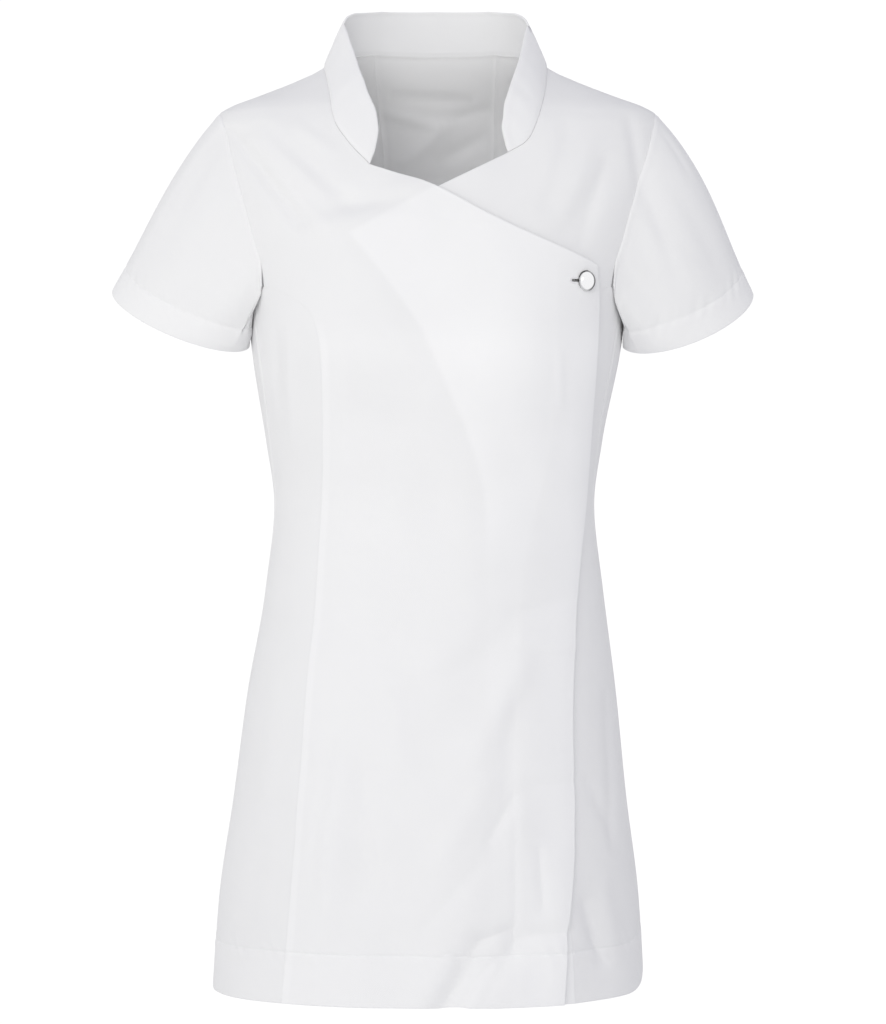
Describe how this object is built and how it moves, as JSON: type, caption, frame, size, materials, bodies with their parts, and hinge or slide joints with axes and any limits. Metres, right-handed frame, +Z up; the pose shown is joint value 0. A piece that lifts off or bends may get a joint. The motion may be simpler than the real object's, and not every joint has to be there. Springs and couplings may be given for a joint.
{
  "type": "work tunic",
  "caption": "Short-sleeved wrap-front work tunic with a stand collar and a metal dome button, in its hollow worn form.",
  "frame": {"origin": "between the wearer's shoulders, where the tunic hangs from them, on the tunic's centre line", "axes": "+Z up, -Y out of the front, +X towards the wearer's left"},
  "size_m": [0.5651, 0.2915, 0.8668],
  "materials": {
    "cloth": "matt white woven polyester and cotton",
    "button": "polished metal"
  },
  "bodies": {
    "root": {"front_right_wrap": "cloth", "wrap_facing": "cloth", "front_left_under": "cloth", "front_right_side": "cloth", "front_left_side": "cloth", "back_centre": "cloth", "back_right_side": "cloth", "back_left_side": "cloth", "sleeve_right": "cloth", "sleeve_left": "cloth", "collar": "cloth", "button": "button"}
  },
  "joints": []
}
